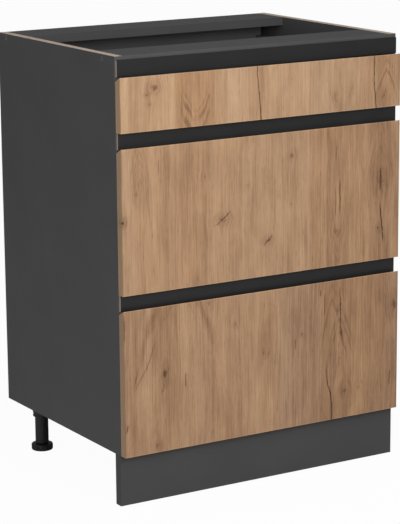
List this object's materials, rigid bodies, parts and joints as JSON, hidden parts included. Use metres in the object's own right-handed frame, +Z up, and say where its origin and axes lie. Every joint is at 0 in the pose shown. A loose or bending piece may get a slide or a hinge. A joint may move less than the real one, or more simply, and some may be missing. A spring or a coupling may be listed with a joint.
{
  "type": "kitchen base cabinet with drawers",
  "caption": "Handleless kitchen base cabinet with oak-look drawer fronts, dark grip gaps, telescopic ball runners, a plinth board and adjustable legs.",
  "frame": {"origin": "on the floor, at the middle of the cabinet's width and of its depth over the closed fronts", "axes": "+Z up, -Y out of the drawer fronts, +X to the right seen from the front"},
  "size_m": [0.6, 0.4666, 0.816],
  "materials": {
    "anthracite_board": "matte melamine on chipboard",
    "drawer_board": "matte melamine on chipboard",
    "dark_hardboard": "printed hardboard",
    "oak_front": "oak decor with upright grain",
    "grip_strip": "dark satin foil",
    "beech_dowel": "raw beech",
    "zinc_steel": "bright zinc plating",
    "zinc_fitting": "zinc plating",
    "cage_steel": "oiled sheet",
    "black_plastic": "fine grained"
  },
  "bodies": {
    "carcass": {"side_panel_left": "anthracite_board", "side_panel_right": "anthracite_board", "bottom_panel": "anthracite_board", "back_panel": "dark_hardboard", "front_rail": "anthracite_board", "rear_rail": "anthracite_board", "grip_strip_top": "grip_strip", "grip_strip_middle": "grip_strip", "grip_strip_lower": "grip_strip", "rail_screws": "zinc_fitting", "carcass_dowels": "beech_dowel", "carcass_cams": "zinc_fitting", "strip_pins": "beech_dowel", "channel_screws": "zinc_fitting", "runner_channel_top": "zinc_steel", "runner_channel_middle": "zinc_steel", "runner_channel_bottom": "zinc_steel", "leg_sockets": "black_plastic", "leg_tube_front_left": "black_plastic", "leg_tube_front_right": "black_plastic", "leg_tube_rear_left": "black_plastic", "leg_tube_rear_right": "black_plastic", "plinth_board": "anthracite_board", "plinth_clips": "black_plastic"},
    "drawer_top": {"drawer_front_top": "oak_front", "drawer_side_left_top": "drawer_board", "drawer_side_right_top": "drawer_board", "drawer_back_top": "drawer_board", "drawer_bottom_top": "dark_hardboard", "runner_bar_top": "zinc_steel", "drawer_fittings_top": "zinc_fitting"},
    "slide_top": {"runner_slide_top": "zinc_steel"},
    "outer_cage_top": {"ball_cage_outer_top": "cage_steel"},
    "inner_cage_top": {"ball_cage_inner_top": "cage_steel"},
    "drawer_middle": {"drawer_front_middle": "oak_front", "drawer_side_left_middle": "drawer_board", "drawer_side_right_middle": "drawer_board", "drawer_back_middle": "drawer_board", "drawer_bottom_middle": "dark_hardboard", "runner_bar_middle": "zinc_steel", "drawer_fittings_middle": "zinc_fitting"},
    "slide_middle": {"runner_slide_middle": "zinc_steel"},
    "outer_cage_middle": {"ball_cage_outer_middle": "cage_steel"},
    "inner_cage_middle": {"ball_cage_inner_middle": "cage_steel"},
    "drawer_bottom": {"drawer_front_bottom": "oak_front", "drawer_side_left_bottom": "drawer_board", "drawer_side_right_bottom": "drawer_board", "drawer_back_bottom": "drawer_board", "drawer_bottom_bottom": "dark_hardboard", "runner_bar_bottom": "zinc_steel", "drawer_fittings_bottom": "zinc_fitting"},
    "slide_bottom": {"runner_slide_bottom": "zinc_steel"},
    "outer_cage_bottom": {"ball_cage_outer_bottom": "cage_steel"},
    "inner_cage_bottom": {"ball_cage_inner_bottom": "cage_steel"},
    "foot_front_left": {"leg_foot_front_left": "black_plastic"},
    "foot_front_right": {"leg_foot_front_right": "black_plastic"},
    "foot_rear_left": {"leg_foot_rear_left": "black_plastic"},
    "foot_rear_right": {"leg_foot_rear_right": "black_plastic"}
  },
  "joints": [
    {"name": "drawer_top_slide", "type": "slide", "parent": "carcass", "child": "drawer_top", "axis": [0, -1, 0], "range_m": [0, 0.4]},
    {"name": "slide_top_slide", "type": "slide", "parent": "carcass", "child": "slide_top", "axis": [0, -1, 0], "range_m": [0, 0.2]},
    {"name": "outer_cage_top_slide", "type": "slide", "parent": "carcass", "child": "outer_cage_top", "axis": [0, -1, 0], "range_m": [0, 0.1]},
    {"name": "inner_cage_top_slide", "type": "slide", "parent": "carcass", "child": "inner_cage_top", "axis": [0, -1, 0], "range_m": [0, 0.3]},
    {"name": "drawer_middle_slide", "type": "slide", "parent": "carcass", "child": "drawer_middle", "axis": [0, -1, 0], "range_m": [0, 0.4]},
    {"name": "slide_middle_slide", "type": "slide", "parent": "carcass", "child": "slide_middle", "axis": [0, -1, 0], "range_m": [0, 0.2]},
    {"name": "outer_cage_middle_slide", "type": "slide", "parent": "carcass", "child": "outer_cage_middle", "axis": [0, -1, 0], "range_m": [0, 0.1]},
    {"name": "inner_cage_middle_slide", "type": "slide", "parent": "carcass", "child": "inner_cage_middle", "axis": [0, -1, 0], "range_m": [0, 0.3]},
    {"name": "drawer_bottom_slide", "type": "slide", "parent": "carcass", "child": "drawer_bottom", "axis": [0, -1, 0], "range_m": [0, 0.4]},
    {"name": "slide_bottom_slide", "type": "slide", "parent": "carcass", "child": "slide_bottom", "axis": [0, -1, 0], "range_m": [0, 0.2]},
    {"name": "outer_cage_bottom_slide", "type": "slide", "parent": "carcass", "child": "outer_cage_bottom", "axis": [0, -1, 0], "range_m": [0, 0.1]},
    {"name": "inner_cage_bottom_slide", "type": "slide", "parent": "carcass", "child": "inner_cage_bottom", "axis": [0, -1, 0], "range_m": [0, 0.3]},
    {"name": "foot_front_left_screw", "type": "slide", "parent": "carcass", "child": "foot_front_left", "axis": [0, 0, -1], "range_m": [0, 0.02]},
    {"name": "foot_front_right_screw", "type": "slide", "parent": "carcass", "child": "foot_front_right", "axis": [0, 0, -1], "range_m": [0, 0.02]},
    {"name": "foot_rear_left_screw", "type": "slide", "parent": "carcass", "child": "foot_rear_left", "axis": [0, 0, -1], "range_m": [0, 0.02]},
    {"name": "foot_rear_right_screw", "type": "slide", "parent": "carcass", "child": "foot_rear_right", "axis": [0, 0, -1], "range_m": [0, 0.02]}
  ],
  "couplings": [
    {"joint": "slide_top_slide", "follows": "drawer_top_slide", "ratio": 0.5},
    {"joint": "outer_cage_top_slide", "follows": "drawer_top_slide", "ratio": 0.25},
    {"joint": "inner_cage_top_slide", "follows": "drawer_top_slide", "ratio": 0.75},
    {"joint": "slide_middle_slide", "follows": "drawer_middle_slide", "ratio": 0.5},
    {"joint": "outer_cage_middle_slide", "follows": "drawer_middle_slide", "ratio": 0.25},
    {"joint": "inner_cage_middle_slide", "follows": "drawer_middle_slide", "ratio": 0.75},
    {"joint": "slide_bottom_slide", "follows": "drawer_bottom_slide", "ratio": 0.5},
    {"joint": "outer_cage_bottom_slide", "follows": "drawer_bottom_slide", "ratio": 0.25},
    {"joint": "inner_cage_bottom_slide", "follows": "drawer_bottom_slide", "ratio": 0.75}
  ]
}
